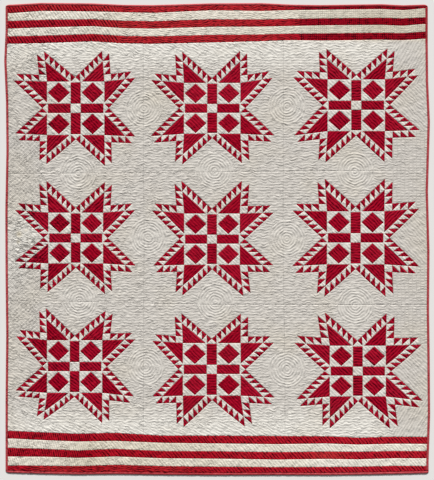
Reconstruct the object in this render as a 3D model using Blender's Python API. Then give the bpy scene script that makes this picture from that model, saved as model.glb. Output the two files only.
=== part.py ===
"""A pieced cotton quilt lying flat: nine feathered-star blocks in three rows, five border strips at the
top, five at the bottom, and a binding round the edge. Places are in millimetres from the quilt's
middle, x to the right and y towards the top edge, z up from the underside. The meshes are in metres.
Quilting shows as low stitch lines and raised crowns between them, coarser than the real 13 mm rows."""

import math
from collections import namedtuple

import bpy
from mathutils.geometry import delaunay_2d_cdt

MM = 0.001

# Heights of the cloth's upper face.
SEAM_HEIGHT = 2.6
STITCH_HEIGHT = 2.9
CROWN_HEIGHT = 4.4
PATCH_CROWN_HEIGHT = 3.9
BINDING_OUTER_HEIGHT = 2.2
BINDING_CROWN_HEIGHT = 5.0

# Sewing and quilting sizes.
SEAM_GAP = 0.3
BINDING_WIDTH = 11.0
BINDING_CORNER_LENGTH = 22.0
GROUND_PITCH = 34.0
PATCH_PITCH = 30.0
STRIP_PITCH = 60.0
MEDALLION_RADIUS = 76.0
MEDALLION_RINGS = 6
RING_SIDES = 12
WIDE_RINGS = 4
SMALL_RING_SIDES = 8
LINE_TRIM = 4.0
SHORTEST_LINE = 16.0

# The star is drafted in units, with its middle at 0, 0. One arm points up and each arm has two tips.
CENTRE = 1.05
NINE_PATCH = 6.0
BAR_END = 5.8
DIAMOND_POINT = (CENTRE + NINE_PATCH) / 2
DIAMOND_INSET = 0.16
VALLEY = 7.0
TIP = 13.0
FEATHER_DEPTH = 2.3
ARM_FEATHERS = 6
LEG_FEATHERS = 3
LEG_WIDTH = 1.55
LEG_STEP = (TIP - FEATHER_DEPTH - NINE_PATCH - LEG_WIDTH) / 2
LEG_RUNGS = [NINE_PATCH + LEG_WIDTH + LEG_STEP * step for step in range(LEG_FEATHERS + 1)]

# Plain cotton colours, linear.
WHITE_COTTON = (0.66, 0.63, 0.57)
STAR_RED_COTTON = (0.33, 0.012, 0.030)
BORDER_RED_COTTON = (0.41, 0.022, 0.035)
BINDING_RED_COTTON = (0.42, 0.035, 0.045)

# Each star was sewn a little out of true, so its middle, the half sides of its nine-patch and its
# eight tips have places of their own. Tips are named by arm, then by side.
Star = namedtuple(
    "Star",
    "row column middle half left_top left_bottom top_left top_right"
    " right_top right_bottom bottom_left bottom_right",
)
STARS = (
    Star(1, 1, (-651, 601), (132, 123), (-938, 729), (-929, 485), (-797, 863), (-530, 865),
         (-377, 741), (-377, 471), (-786, 344), (-516, 335)),
    Star(1, 2, (-23, 601), (130, 117), (-304, 731), (-306, 473), (-161, 861), (105, 865),
         (255, 741), (264, 476), (-161, 342), (114, 349)),
    Star(1, 3, (640, 615), (132, 119), (350, 743), (355, 476), (502, 874), (784, 877),
         (925, 753), (932, 501), (498, 351), (770, 354)),
    Star(2, 1, (-651, 4), (126, 117), (-931, 133), (-931, -104), (-786, 267), (-516, 262),
         (-377, 133), (-375, -123), (-781, -245), (-516, -254)),
    Star(2, 2, (-24, -1), (128, 118), (-301, 131), (-294, -123), (-165, 267), (114, 267),
         (260, 121), (258, -121), (-161, -261), (121, -264)),
    Star(2, 3, (637, 5), (132, 122), (348, 129), (345, -125), (495, 276), (772, 276),
         (930, 140), (930, -127), (493, -266), (775, -266)),
    Star(3, 1, (-656, -587), (127, 121), (-925, -448), (-928, -697), (-788, -320), (-513, -330),
         (-376, -462), (-384, -725), (-799, -832), (-529, -848)),
    Star(3, 2, (-25, -600), (133, 121), (-299, -469), (-298, -725), (-165, -342), (109, -344),
         (260, -478), (265, -730), (-155, -866), (128, -864)),
    Star(3, 3, (647, -608), (129, 117), (355, -478), (365, -738), (495, -338), (780, -342),
         (941, -486), (946, -745), (518, -872), (796, -874)),
)

# Quilted medallions lie over the block seams, between neighbouring stars.
MEDALLIONS = (
    (-338, 601), (321, 612), (-640, 302), (-12, 314), (634, 312), (-318, 9),
    (321, 1), (-635, -280), (-8, -289), (636, -304), (-328, -587), (321, -597),
)

# Border seams as heights at places across the quilt. The outermost line is the quilt's edge.
BorderStation = namedtuple("BorderStation", "x edge first second third fourth ground")
TOP_BORDER = (
    BorderStation(-945, 1079, 1039, 1003, 968, 932, 898),
    BorderStation(-811, 1087, 1049, 1008, 973, 935, 901),
    BorderStation(-576, 1085, 1047, 1011, 979, 943, 909),
    BorderStation(-430, 1078, 1043, 1004, 970, 934, 900),
    BorderStation(-295, 1077, 1040, 1002, 968, 932, 898),
    BorderStation(-29, 1085, 1052, 1011, 976, 939, 904),
    BorderStation(206, 1086, 1049, 1010, 977, 941, 910),
    BorderStation(345, 1079, 1053, 1013, 980, 945, 915),
    BorderStation(477, 1077, 1055, 1015, 983, 946, 913),
    BorderStation(758, 1081, 1058, 1018, 985, 949, 917),
    BorderStation(856, 1076, 1053, 1015, 981, 947, 915),
    BorderStation(947, 1079, 1061, 1020, 989, 954, 921),
)
BOTTOM_BORDER = (
    BorderStation(-946, -1076, -1042, -1001, -961, -918, -883),
    BorderStation(-788, -1081, -1043, -1002, -966, -926, -890),
    BorderStation(-640, -1084, -1045, -1007, -973, -932, -896),
    BorderStation(-470, -1082, -1039, -1001, -966, -929, -892),
    BorderStation(-249, -1085, -1045, -1009, -976, -938, -905),
    BorderStation(13, -1087, -1048, -1011, -977, -941, -905),
    BorderStation(280, -1086, -1050, -1015, -981, -944, -907),
    BorderStation(500, -1087, -1049, -1012, -978, -941, -908),
    BorderStation(650, -1085, -1048, -1014, -979, -946, -914),
    BorderStation(818, -1082, -1044, -1009, -976, -942, -910),
    BorderStation(960, -1078, -1045, -1009, -976, -943, -911),
)
STRIP_COLOURS = ("red", "white", "red", "white", "red")


class Course:
    """A line of sewing, read at a few stations and straight between them."""

    def __init__(self, stations):
        self.stations = sorted(stations)

    def at(self, along):
        """How far across the line lies at this place along it."""
        if along <= self.stations[0][0]:
            return self.stations[0][1]
        for (start, first), (end, last) in zip(self.stations, self.stations[1:]):
            if along <= end:
                return first + (last - first) * (along - start) / (end - start)
        return self.stations[-1][1]

    def shifted(self, amount):
        return Course([(along, across + amount) for along, across in self.stations])

    def between(self, other, share):
        """The line this share of the way from here to another course with the same stations."""
        mixed = [(along, across + (other.at(along) - across) * share) for along, across in self.stations]
        return Course(mixed)

    def inner_stations(self, start, end, margin=6.0):
        return [along for along, _ in self.stations if start + margin < along < end - margin]


# Sides of the quilt, as x at places up it, and the seams between the blocks.
LEFT_EDGE = Course(
    ((957, -974), (819, -980), (631, -972), (410, -970), (129, -975), (-151, -974), (-437, -971),
     (-754, -974), (-1021, -974))
)
RIGHT_EDGE = Course(
    ((911, 969), (723, 971), (539, 979), (221, 970), (-59, 977), (-326, 975), (-542, 978),
     (-809, 980), (-1021, 973))
)
SEAM_AFTER_COLUMN_1 = Course(
    ((900, -340), (603, -340), (304, -339), (5, -336), (-296, -338), (-593, -339), (-901, -339))
)
SEAM_AFTER_COLUMN_2 = Course(
    ((909, 305), (612, 305), (311, 304), (5, 303), (-303, 307), (-602, 312), (-906, 312))
)
SEAM_UNDER_ROW_1 = Course(
    ((-965, 300), (-654, 302), (-339, 304), (-24, 307), (304, 311), (634, 314), (960, 316))
)
SEAM_UNDER_ROW_2 = Course(
    ((-965, -285), (-654, -288), (-338, -296), (-24, -302), (307, -303), (634, -303), (965, -303))
)


def border_courses(stations):
    """The six lines of a border, from the quilt's edge inwards."""
    fields = BorderStation._fields[1:]
    return [Course([(row.x, getattr(row, field)) for row in stations]) for field in fields]


def corner(upright, level):
    """Where a course that runs up the quilt crosses one that runs across it."""
    x = upright.at(level.at(0))
    for _ in range(8):
        y = level.at(x)
        x = upright.at(y)
    return (x, y)


def panel_outline(left, right, low, high):
    """The outline between four courses, anticlockwise from the lower left corner."""
    lower_left = corner(left, low)
    lower_right = corner(right, low)
    upper_right = corner(right, high)
    upper_left = corner(left, high)
    outline = [lower_left]
    outline += [(x, low.at(x)) for x in low.inner_stations(lower_left[0], lower_right[0])]
    outline.append(lower_right)
    outline += [(right.at(y), y) for y in right.inner_stations(lower_right[1], upper_right[1])]
    outline.append(upper_right)
    top = high.inner_stations(upper_left[0], upper_right[0])
    outline += [(x, high.at(x)) for x in reversed(top)]
    outline.append(upper_left)
    side = left.inner_stations(lower_left[1], upper_left[1])
    outline += [(left.at(y), y) for y in reversed(side)]
    return outline


def inside(outline, x, y):
    """Whether a place lies within an outline."""
    within = False
    for (ax, ay), (bx, by) in zip(outline, outline[1:] + outline[:1]):
        if (ay > y) != (by > y) and x < ax + (bx - ax) * (y - ay) / (by - ay):
            within = not within
    return within


def well_inside(outline, x, y, margin=LINE_TRIM):
    sides = ((margin, 0), (-margin, 0), (0, margin), (0, -margin))
    return all(inside(outline, x + dx, y + dy) for dx, dy in sides)


def crossings(start, end, outline):
    """The shares of the way from start to end at which the line crosses an outline."""
    found = []
    run = (end[0] - start[0], end[1] - start[1])
    for (ax, ay), (bx, by) in zip(outline, outline[1:] + outline[:1]):
        side = (bx - ax, by - ay)
        slant = run[0] * side[1] - run[1] * side[0]
        if abs(slant) < 1e-9:
            continue
        gap = (ax - start[0], ay - start[1])
        share = (gap[0] * side[1] - gap[1] * side[0]) / slant
        along_side = (gap[0] * run[1] - gap[1] * run[0]) / slant
        if 0 <= share <= 1 and 0 <= along_side <= 1:
            found.append(share)
    return found


def clipped(start, end, within, clear_of):
    """The stretches of a line inside one outline and outside others, drawn back a little at each end."""
    shares = [0.0, 1.0] + crossings(start, end, within)
    for outline in clear_of:
        shares += crossings(start, end, outline)
    shares.sort()
    kept = []
    for low, high in zip(shares, shares[1:]):
        middle = (low + high) / 2
        x = start[0] + (end[0] - start[0]) * middle
        y = start[1] + (end[1] - start[1]) * middle
        if high - low < 1e-9 or not inside(within, x, y) or any(inside(o, x, y) for o in clear_of):
            continue
        if kept and abs(kept[-1][1] - low) < 1e-6:
            kept[-1][1] = high
        else:
            kept.append([low, high])
    length = math.dist(start, end)
    trim = LINE_TRIM / length
    stretches = []
    for low, high in kept:
        low += trim
        high -= trim
        if (high - low) * length >= SHORTEST_LINE:
            ends = [
                (start[0] + (end[0] - start[0]) * share, start[1] + (end[1] - start[1]) * share)
                for share in (low, high)
            ]
            stretches.append(ends)
    return stretches


def channels(within, clear_of, angle, pitch):
    """Rows of quilting across an outline: stitch lines at the pitch, with crowns between them."""
    along = (math.cos(angle), math.sin(angle))
    across = (-along[1], along[0])
    depths = [x * across[0] + y * across[1] for x, y in within]
    runs = [x * along[0] + y * along[1] for x, y in within]
    start, end = min(runs) - 1, max(runs) + 1
    half = pitch / 2
    first = math.ceil((min(depths) + LINE_TRIM) / half)
    last = math.floor((max(depths) - LINE_TRIM) / half)
    lines = []
    for row in range(first, last + 1):
        depth = row * half
        ends = [
            (along[0] * run + across[0] * depth, along[1] * run + across[1] * depth)
            for run in (start, end)
        ]
        height = STITCH_HEIGHT if row % 2 == 0 else CROWN_HEIGHT
        lines += [(stretch, height) for stretch in clipped(ends[0], ends[1], within, clear_of)]
    return lines


def circle(middle, radius, sides):
    turns = [2 * math.pi * (side + 0.5) / sides for side in range(sides)]
    return [(middle[0] + radius * math.cos(a), middle[1] + radius * math.sin(a)) for a in turns]


def medallion(middle, within):
    """Rings of quilting round one middle, as far as they lie within an outline."""
    lines = []
    for ring in range(MEDALLION_RINGS):
        radius = MEDALLION_RADIUS * (MEDALLION_RINGS - ring) / MEDALLION_RINGS
        height = STITCH_HEIGHT if ring % 2 == 0 else CROWN_HEIGHT
        sides = RING_SIDES if ring < WIDE_RINGS else SMALL_RING_SIDES
        points = circle(middle, radius, sides)
        kept = [well_inside(within, x, y) for x, y in points]
        for place, point in enumerate(points):
            following = (place + 1) % sides
            if kept[place] and kept[following]:
                lines.append(([point, points[following]], height))
    if well_inside(within, *middle):
        lines.append(([middle], STITCH_HEIGHT))
    return lines


def mix(first, second, share):
    return tuple(a + (b - a) * share for a, b in zip(first, second))


def sewn(star, x, y):
    """Where a drafted place, in units from the star's middle, lies on this star as it was sewn."""
    side = 1 if x >= 0 else -1
    rise = 1 if y >= 0 else -1
    upright = {(-1, 1): star.top_left, (1, 1): star.top_right,
               (-1, -1): star.bottom_left, (1, -1): star.bottom_right}
    level = {(-1, 1): star.left_top, (1, 1): star.right_top,
             (-1, -1): star.left_bottom, (1, -1): star.right_bottom}
    scale_x = star.half[0] / NINE_PATCH
    scale_y = star.half[1] / NINE_PATCH
    nearest_x = max(-NINE_PATCH, min(NINE_PATCH, x))
    nearest_y = max(-NINE_PATCH, min(NINE_PATCH, y))
    base = (star.middle[0] + nearest_x * scale_x, star.middle[1] + nearest_y * scale_y)
    reach = TIP - NINE_PATCH
    beyond_x = (abs(x) - NINE_PATCH) / reach
    beyond_y = (abs(y) - NINE_PATCH) / reach
    place = base
    if beyond_y > 0:
        end = mix(upright[-1, rise], upright[1, rise], (nearest_x + NINE_PATCH) / (2 * NINE_PATCH))
        place = mix(base, end, beyond_y)
    if beyond_x > 0:
        end = mix(level[side, -1], level[side, 1], (nearest_y + NINE_PATCH) / (2 * NINE_PATCH))
        step = mix(base, end, beyond_x)
        place = (place[0] + step[0] - base[0], place[1] + step[1] - base[1])
    return place


def eightfold(points):
    """The eight mirrored and turned copies of some drafted points."""
    copies = []
    for swapped in (False, True):
        for side in (1, -1):
            for rise in (1, -1):
                turned = [(y, x) if swapped else (x, y) for x, y in points]
                copies.append([(x * side, y * rise) for x, y in turned])
    return copies


def star_outline_draft():
    """The edge of the star from valley to valley, round all four arms."""
    n, side, end = NINE_PATCH, NINE_PATCH + LEG_WIDTH, LEG_RUNGS[-1]
    quarter = [(0, VALLEY), (n, TIP), (n, end), (side, end), (side, side), (end, side), (end, n), (TIP, n)]
    outline = []
    for cos, sin in ((1, 0), (0, -1), (-1, 0), (0, 1)):
        outline += [(x * cos - y * sin, x * sin + y * cos) for x, y in quarter]
    return outline[::-1]


def arm_edges_draft():
    """The outer and the inner edge of the row of feathers along an arm, from its tip to the valley."""
    n = NINE_PATCH
    outer = [(n - k, TIP - k) for k in range(ARM_FEATHERS + 1)]
    inner = [(n - k, max(n, TIP - FEATHER_DEPTH - k)) for k in range(ARM_FEATHERS)]
    return outer, inner


def star_seams_draft():
    """The seams between the patches, as drafted polylines."""
    c, n, d, i = CENTRE, NINE_PATCH, DIAMOND_POINT, DIAMOND_INSET
    seams = eightfold([(0, c), (c, c)]) + eightfold([(0, BAR_END), (c, BAR_END)])
    seams += eightfold([(c, c), (c, BAR_END), (c, n), (n, n)])
    seams += eightfold([(n - i, d), (d, c + i), (c + i, d)]) + eightfold([(n - i, d), (d, n - i)])
    outer, inner = arm_edges_draft()
    seams += eightfold(outer) + eightfold(inner) + eightfold([outer[-1], inner[-1]])
    for k in range(ARM_FEATHERS):
        seams += eightfold([outer[k], inner[k], outer[k + 1]])
    w = n + LEG_WIDTH
    seams += eightfold([(n, n)] + [(n, rung) for rung in LEG_RUNGS] + [(n, TIP)])
    seams += eightfold([(w, rung) for rung in LEG_RUNGS])
    for rung in LEG_RUNGS:
        seams += eightfold([(n, rung), (w, rung)])
    for low, high in zip(LEG_RUNGS, LEG_RUNGS[1:]):
        seams += eightfold([(n, low), (w, high)])
    return seams


def feathers_draft():
    """The small red triangles along the arms and down the legs."""
    n, w = NINE_PATCH, NINE_PATCH + LEG_WIDTH
    outer, inner = arm_edges_draft()
    feathers = []
    for k in range(ARM_FEATHERS):
        feathers += eightfold([outer[k], outer[k + 1], inner[k]])
    for low, high in zip(LEG_RUNGS, LEG_RUNGS[1:]):
        feathers += eightfold([(n, low), (w, low), (w, high)])
    return feathers


def large_patches_draft():
    """The red patches that hold several rows of quilting, each with the slant of its rows."""
    c, n, d, i, e = CENTRE, NINE_PATCH, DIAMOND_POINT, DIAMOND_INSET, BAR_END
    patches = []
    for side in (1, -1):
        patches.append(([(-c, c * side), (c, c * side), (c, e * side), (-c, e * side)], 0.0))
        patches.append(([(c * side, -c), (c * side, c), (e * side, c), (e * side, -c)], math.pi / 2))
        for rise in (1, -1):
            corners = ((d, c + i), (n - i, d), (d, n - i), (c + i, d))
            patches.append(([(x * side, y * rise) for x, y in corners], -math.pi / 4))
    foot = n - VALLEY + FEATHER_DEPTH
    for triangle in eightfold([(n, n), (n, TIP - FEATHER_DEPTH), (foot, n)]):
        (ax, ay), (bx, by) = triangle[1], triangle[2]
        patches.append((triangle, math.atan2(by - ay, bx - ax)))
    return patches


def small_crowns_draft():
    """One raised place in the middle of the centre square and of each white triangle round a diamond."""
    crowns = [(0.0, 0.0)]
    for side in (1, -1):
        for rise in (1, -1):
            for near_x in (CENTRE, NINE_PATCH):
                for near_y in (CENTRE, NINE_PATCH):
                    x = (2 * near_x + DIAMOND_POINT) / 3
                    y = (2 * near_y + DIAMOND_POINT) / 3
                    crowns.append((x * side, y * rise))
    return crowns


def cotton(name, colour):
    """Plain woven cotton: dull, with no metal in it."""
    material = bpy.data.materials.new(name)
    material.use_nodes = True
    shader = material.node_tree.nodes["Principled BSDF"]
    shader.inputs["Base Color"].default_value = (*colour, 1.0)
    shader.inputs["Roughness"].default_value = 0.92
    shader.inputs["Metallic"].default_value = 0.0
    material.diffuse_color = (*colour, 1.0)
    return material


def triangulated(outline, lines):
    """A flat triangle mesh inside an outline, with every given line along its edges."""
    points = list(outline)
    edges = []
    for route, _ in lines:
        first = len(points)
        points += route
        edges += [(first + i, first + i + 1) for i in range(len(route) - 1)]
    ring = [list(range(len(outline)))]
    places, _, faces, sources, _, _ = delaunay_2d_cdt(points, edges, ring, 1, 1e-3)
    return places, faces, sources


def rim_of(faces):
    """The points round the outside of a flat triangle mesh, in order."""
    sides = {(start, end) for face in faces for start, end in zip(face, (*face[1:], face[0]))}
    following = {start: end for start, end in sides if (end, start) not in sides}
    loop = [min(following)]
    while following[loop[-1]] != loop[0]:
        loop.append(following[loop[-1]])
    return loop


def slab(name, outline, lines, rim_height, colour, red_patches=()):
    """One closed piece of cloth: a flat underside, upright sides, and an upper face that runs low along
    its seams and stitch lines and high along its crowns."""
    places, faces, sources = triangulated(outline, lines)
    given = [rim_height] * len(outline)
    for route, height in lines:
        given += [height] * len(route)
    upper = []
    for place, source in zip(places, sources):
        height = min((given[index] for index in source), default=STITCH_HEIGHT)
        upper.append((place.x * MM, place.y * MM, height * MM))
    loop = rim_of(faces)
    rim = [(places[index].x, places[index].y) for index in loop]
    _, under_faces, under_sources = triangulated(rim, [])
    lower = [(x * MM, y * MM, 0.0) for x, y in rim]
    first = len(upper)
    position = [source[0] for source in under_sources]
    shell = [list(face) for face in faces]
    shell += [[first + position[i] for i in reversed(face)] for face in under_faces]
    for step, start in enumerate(loop):
        after = (step + 1) % len(loop)
        shell.append([start, first + step, first + after])
        shell.append([start, first + after, loop[after]])
    mesh = bpy.data.meshes.new(name)
    mesh.from_pydata(upper + lower, [], shell)
    mesh.materials.append(cotton(name + "_cloth", colour))
    if red_patches:
        mesh.materials.append(cotton(name + "_patches", STAR_RED_COTTON))
        for polygon in mesh.polygons[: len(faces)]:
            x, y = polygon.center.x / MM, polygon.center.y / MM
            polygon.material_index = int(any(inside(patch, x, y) for patch in red_patches))
    mesh.update()
    piece = bpy.data.objects.new(name, mesh)
    bpy.context.scene.collection.objects.link(piece)
    return piece


def make_block(star, outline):
    """One pieced block: its feathered star, the medallions at its seams and the rows on its ground."""
    lines = []
    for seam in star_seams_draft():
        lines.append(([sewn(star, x, y) for x, y in seam], SEAM_HEIGHT))
    red_patches = []
    for draft, slant in large_patches_draft():
        patch = [sewn(star, x, y) for x, y in draft]
        red_patches.append(patch)
        lines += channels(patch, (), slant, PATCH_PITCH)
    for draft in feathers_draft():
        feather = [sewn(star, x, y) for x, y in draft]
        red_patches.append(feather)
        middle = (sum(x for x, _ in feather) / 3, sum(y for _, y in feather) / 3)
        lines.append(([middle], PATCH_CROWN_HEIGHT))
    for x, y in small_crowns_draft():
        lines.append(([sewn(star, x, y)], PATCH_CROWN_HEIGHT))
    clear_of = [[sewn(star, x, y) for x, y in star_outline_draft()]]
    for middle in MEDALLIONS:
        lines += medallion(middle, outline)
        clear_of.append(circle(middle, MEDALLION_RADIUS + LINE_TRIM, RING_SIDES))
    lines += channels(outline, clear_of, 0.0, GROUND_PITCH)
    name = f"block_{star.row}_{star.column}"
    return slab(name, outline, lines, SEAM_HEIGHT, WHITE_COTTON, red_patches)


def make_strip(name, outline, colour):
    """One border strip, quilted in slanting rows."""
    lines = channels(outline, (), -math.pi / 4, STRIP_PITCH)
    return slab(name, outline, lines, SEAM_HEIGHT, colour)


def rounded(outline, sharp):
    """The outline with one sharp corner turned round in four short steps, as far as its sides allow."""
    place = outline.index(sharp)
    before = outline[place - 1]
    after = outline[(place + 1) % len(outline)]
    start = mix(sharp, before, min(0.9, BINDING_CORNER_LENGTH / math.dist(sharp, before)))
    end = mix(sharp, after, min(0.9, BINDING_CORNER_LENGTH / math.dist(sharp, after)))
    arc = []
    for step in range(5):
        turn = math.pi / 2 * step / 4
        level, upright = 1 - math.sin(turn), 1 - math.cos(turn)
        x = sharp[0] + (start[0] - sharp[0]) * level + (end[0] - sharp[0]) * upright
        y = sharp[1] + (start[1] - sharp[1]) * level + (end[1] - sharp[1]) * upright
        arc.append((x, y))
    return outline[:place] + arc + outline[place + 1 :]


def make_binding(name, outline, crowns):
    """One length of binding: a folded strip, high along its middle and low at its outer edge."""
    lines = [(crown, BINDING_CROWN_HEIGHT) for crown in crowns]
    return slab(name, outline, lines, BINDING_OUTER_HEIGHT, BINDING_RED_COTTON)


def crown_routes(edge, inner, start, end, upright):
    """The two lines along which a length of binding is highest."""
    routes = []
    for share in (0.32, 0.68):
        course = edge.between(inner, share)
        margin = BINDING_WIDTH * share if upright else BINDING_WIDTH
        stations = [start + margin] + course.inner_stations(start + margin, end - margin) + [end - margin]
        route = [(along, course.at(along)) for along in stations]
        routes.append([(y, x) for x, y in route] if upright else route)
    return routes


def main():
    for existing in list(bpy.data.objects):
        bpy.data.objects.remove(existing, do_unlink=True)

    gap = SEAM_GAP / 2
    top = border_courses(TOP_BORDER)
    bottom = border_courses(BOTTOM_BORDER)
    left = LEFT_EDGE.shifted(BINDING_WIDTH)
    right = RIGHT_EDGE.shifted(-BINDING_WIDTH)

    uprights = [left, SEAM_AFTER_COLUMN_1, SEAM_AFTER_COLUMN_2, right]
    levels = [top[-1], SEAM_UNDER_ROW_1, SEAM_UNDER_ROW_2, bottom[-1]]
    for star in STARS:
        outline = panel_outline(
            uprights[star.column - 1].shifted(gap),
            uprights[star.column].shifted(-gap),
            levels[star.row].shifted(gap),
            levels[star.row - 1].shifted(-gap),
        )
        make_block(star, outline)

    colours = {"red": BORDER_RED_COTTON, "white": WHITE_COTTON}
    top[0] = top[0].shifted(-BINDING_WIDTH)
    bottom[0] = bottom[0].shifted(BINDING_WIDTH)
    for number, colour in enumerate(STRIP_COLOURS, start=1):
        sides = (left.shifted(gap), right.shifted(-gap))
        outline = panel_outline(*sides, top[number].shifted(gap), top[number - 1].shifted(-gap))
        make_strip(f"top_strip_{number}", outline, colours[colour])
        outline = panel_outline(*sides, bottom[number - 1].shifted(gap), bottom[number].shifted(-gap))
        make_strip(f"bottom_strip_{number}", outline, colours[colour])

    top_edge = top[0].shifted(BINDING_WIDTH)
    bottom_edge = bottom[0].shifted(-BINDING_WIDTH)
    for name, low, high, edge, inner in (
        ("binding_top", top[0].shifted(gap), top_edge, top_edge, top[0]),
        ("binding_bottom", bottom_edge, bottom[0].shifted(-gap), bottom_edge, bottom[0]),
    ):
        outline = panel_outline(LEFT_EDGE, RIGHT_EDGE, low, high)
        ends = (corner(LEFT_EDGE, edge), corner(RIGHT_EDGE, edge))
        for end in ends:
            outline = rounded(outline, end)
        make_binding(name, outline, crown_routes(edge, inner, ends[0][0], ends[1][0], False))
    for name, west, east, edge, inner in (
        ("binding_left", LEFT_EDGE, left.shifted(-gap), LEFT_EDGE, left),
        ("binding_right", right.shifted(gap), RIGHT_EDGE, RIGHT_EDGE, right),
    ):
        outline = panel_outline(west, east, bottom[0].shifted(gap), top[0].shifted(-gap))
        start, end = corner(edge, bottom[0])[1], corner(edge, top[0])[1]
        make_binding(name, outline, crown_routes(edge, inner, start, end, True))


main()
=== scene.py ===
"""A red and white pieced cotton quilt lying flat, seen face on: nine feathered-star blocks, striped
borders at its top and bottom, and a folded binding. Places are in millimetres from the quilt's middle,
x to the right and y towards the top edge, z up from the underside. The meshes are in metres."""

import math
from collections import namedtuple

import bpy
import numpy as np
from mathutils.geometry import delaunay_2d_cdt
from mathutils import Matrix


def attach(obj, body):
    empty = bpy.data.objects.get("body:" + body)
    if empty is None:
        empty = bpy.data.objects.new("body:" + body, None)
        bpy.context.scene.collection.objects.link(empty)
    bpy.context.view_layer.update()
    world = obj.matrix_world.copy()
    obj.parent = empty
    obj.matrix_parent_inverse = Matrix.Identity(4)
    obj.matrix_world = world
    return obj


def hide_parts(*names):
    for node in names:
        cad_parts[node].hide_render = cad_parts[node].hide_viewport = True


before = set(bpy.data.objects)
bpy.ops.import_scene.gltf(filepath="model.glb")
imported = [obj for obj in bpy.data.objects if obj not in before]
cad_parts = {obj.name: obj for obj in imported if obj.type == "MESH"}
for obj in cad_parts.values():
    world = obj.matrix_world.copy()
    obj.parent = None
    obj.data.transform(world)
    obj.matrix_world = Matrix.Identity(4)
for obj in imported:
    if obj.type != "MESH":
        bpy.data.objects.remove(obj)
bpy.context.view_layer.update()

# Star blocks
# Nine squares of bleached cotton, each pieced by hand from about two hundred red and white patches
# and quilted through a thin cotton wadding, so stitch lines lie low and the cloth crowns between them.

MM = 0.001
STITCH_HEIGHT = 1.9
CROWN_HEIGHT = 4.5
SEAM_DROP = 0.12
SEAM_REACH = 1.6
CRINKLE = 0.5
SEWN_GAP = 0.12
SAMPLE_STEP = 3.4
ROW_SAMPLES = 4
ALONG_STEP = 4.0
CLEAR_OF_SEAM = 1.5
SAME_PLACE = 0.002
NO_STITCH = 99.0
NOISE_STEP = 2.5
NOISE_REACH = (1030, 1130)
WANDER_X = 1.3
WANDER_Y = 2.2

# The star is drafted in units, with its middle at 0, 0. One arm points up and each arm has two tips.
CENTRE = 1.05
NINE_PATCH = 6.0
BAR_END = 5.8
DIAMOND_POINT = (CENTRE + NINE_PATCH) / 2
DIAMOND_INSET = 0.16
VALLEY = 7.0
TIP = 13.0
FEATHER_DEPTH = 2.3
ARM_FEATHERS = 6
LEG_FEATHERS = 3
LEG_WIDTH = 1.55
LEG_STEP = (TIP - FEATHER_DEPTH - NINE_PATCH - LEG_WIDTH) / 2
LEG_RUNGS = [NINE_PATCH + LEG_WIDTH + LEG_STEP * step for step in range(LEG_FEATHERS + 1)]

# Each star was sewn a little out of true: its middle, the half sides of its nine-patch, its eight tips.
Star = namedtuple(
    "Star",
    "row column middle half left_top left_bottom top_left top_right"
    " right_top right_bottom bottom_left bottom_right",
)
STARS = (
    Star(1, 1, (-651, 601), (132, 123), (-938, 729), (-929, 485), (-797, 863), (-530, 865),
         (-377, 741), (-377, 471), (-786, 344), (-516, 335)),
    Star(1, 2, (-23, 601), (130, 117), (-304, 731), (-306, 473), (-161, 861), (105, 865),
         (255, 741), (264, 476), (-161, 342), (114, 349)),
    Star(1, 3, (640, 615), (132, 119), (350, 743), (355, 476), (502, 874), (784, 877),
         (925, 753), (932, 501), (498, 351), (770, 354)),
    Star(2, 1, (-651, 4), (126, 117), (-931, 133), (-931, -104), (-786, 267), (-516, 262),
         (-377, 133), (-375, -123), (-781, -245), (-516, -254)),
    Star(2, 2, (-24, -1), (128, 118), (-301, 131), (-294, -123), (-165, 267), (114, 267),
         (260, 121), (258, -121), (-161, -261), (121, -264)),
    Star(2, 3, (637, 5), (132, 122), (348, 129), (345, -125), (495, 276), (772, 276),
         (930, 140), (930, -127), (493, -266), (775, -266)),
    Star(3, 1, (-656, -587), (127, 121), (-925, -448), (-928, -697), (-788, -320), (-513, -330),
         (-376, -462), (-384, -725), (-799, -832), (-529, -848)),
    Star(3, 2, (-25, -600), (133, 121), (-299, -469), (-298, -725), (-165, -342), (109, -344),
         (260, -478), (265, -730), (-155, -866), (128, -864)),
    Star(3, 3, (647, -608), (129, 117), (355, -478), (365, -738), (495, -338), (780, -342),
         (941, -486), (946, -745), (518, -872), (796, -874)),
)

# Medallions of quilted rings lie over the block seams, between neighbouring stars.
MEDALLIONS = (
    (-338, 601), (321, 612), (-640, 302), (-12, 314), (634, 312), (-318, 9),
    (321, 1), (-635, -280), (-8, -289), (636, -304), (-328, -587), (321, -597),
)
RING_REACH = 88.0
RING_FULLNESS = 1.3
MARGIN = 806.0
NOTCH = 118.0
MARGIN_END = 715.0
RIGHT_START = 300.0
BAND_START = 850.0


def linear(colour):
    """An sRGB hex colour as linear red, green, blue and alpha."""
    parts = [int(colour[i : i + 2], 16) / 255 for i in (1, 3, 5)]
    return [p / 12.92 if p <= 0.04045 else ((p + 0.055) / 1.055) ** 2.4 for p in parts] + [1.0]


def add(tree, kind, settings=None, links=None):
    """Adds one node. Settings are its properties or unlinked sockets, links are what feeds its sockets."""
    node = tree.nodes.new(kind)
    for key, value in (settings or {}).items():
        if isinstance(key, str) and hasattr(node, key):
            setattr(node, key, value)
        else:
            node.inputs[key].default_value = value
    for key, source in (links or {}).items():
        tree.links.new(source, node.inputs[key])
    return node


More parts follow.
